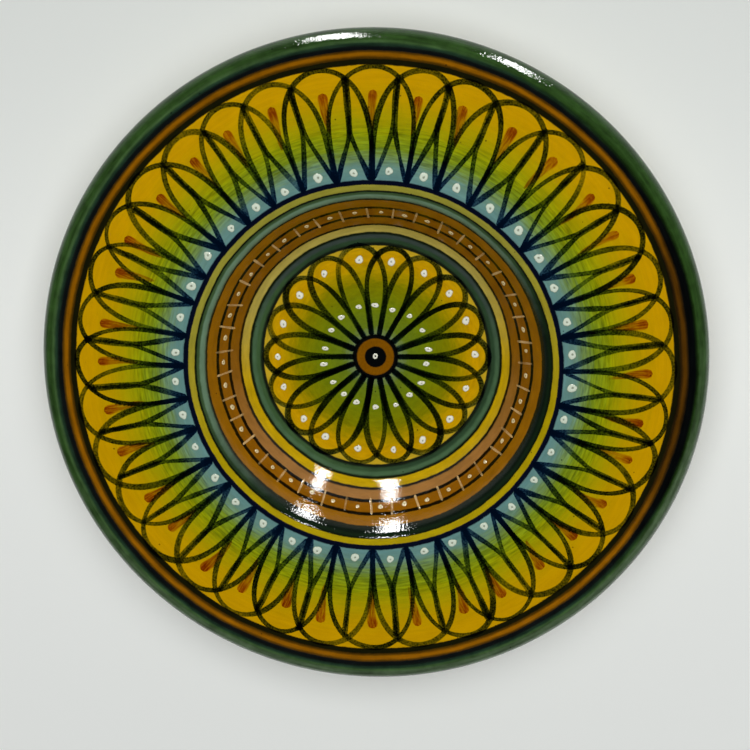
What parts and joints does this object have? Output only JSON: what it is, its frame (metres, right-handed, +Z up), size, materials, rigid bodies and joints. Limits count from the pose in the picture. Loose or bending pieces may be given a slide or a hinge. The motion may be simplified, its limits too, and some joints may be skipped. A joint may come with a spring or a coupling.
{
  "type": "plate",
  "caption": "Round wide-rimmed ceramic plate with a deep well, a rolled lip, a turned foot ring and a painted pattern of petals, rings and dots.",
  "frame": {"origin": "centre of the plate on the plane of its foot ring's resting face", "axes": "+Z is up, along the plate's axis, out of the painted face; +X and +Y lie in the plane of the table, and a petal of the flange and one of the rosette point along +X"},
  "size_m": [0.24, 0.24, 0.0357],
  "materials": {
    "clay": "matte fired earthenware, bare on the foot's resting face",
    "white_slip": "glossy opaque white",
    "cream_glaze": "glossy cream glaze with faint specks",
    "green_glaze": "glossy deep green, uneven",
    "navy_colour": "glossy navy",
    "black_colour": "glossy black-brown",
    "amber_colour": "glossy amber brown, streaked",
    "orange_yellow_colour": "glossy orange yellow, brushed",
    "yellow_colour": "glossy yellow, brushed",
    "leaf_green_colour": "glossy yellow green, brushed",
    "pale_blue_colour": "glossy pale blue",
    "line_colour": "thin dark green-black brush lines, navy where they cross the blue",
    "dart_colour": "thin amber brush dabs",
    "white_enamel": "raised white dots and bars"
  },
  "bodies": {
    "root": {"clay_body": "clay", "white_slip": "white_slip", "back_glaze": "cream_glaze", "foot_recess_glaze": "cream_glaze", "rim_green_band": "green_glaze", "rim_navy_line": "navy_colour", "rim_amber_ring": "amber_colour", "rim_dark_line": "black_colour", "flange_orange_ground": "orange_yellow_colour", "flange_yellow_ground": "yellow_colour", "flange_green_ground": "leaf_green_colour", "flange_blue_ground": "pale_blue_colour", "petal_arches": "line_colour", "petal_forks": "line_colour", "petal_darts": "dart_colour", "collar_dots": "white_enamel", "collar_navy_line": "navy_colour", "collar_yellow_line": "yellow_colour", "collar_green_band": "green_glaze", "wall_amber_band": "amber_colour", "ladder_outer_line": "black_colour", "ladder_ground": "amber_colour", "ladder_inner_line": "black_colour", "ladder_bars": "white_enamel", "ladder_dots": "white_enamel", "well_brown_band": "amber_colour", "well_dark_line": "black_colour", "well_yellow_ring": "yellow_colour", "well_green_ring": "green_glaze", "rosette_yellow_ground": "orange_yellow_colour", "rosette_green_ground": "leaf_green_colour", "rosette_arches": "line_colour", "rosette_outer_dots": "white_enamel", "rosette_inner_dots": "white_enamel", "boss_black_ring": "black_colour", "boss_amber_ring": "amber_colour", "boss_black_disc": "black_colour", "boss_white_dot": "white_enamel"}
  },
  "joints": []
}
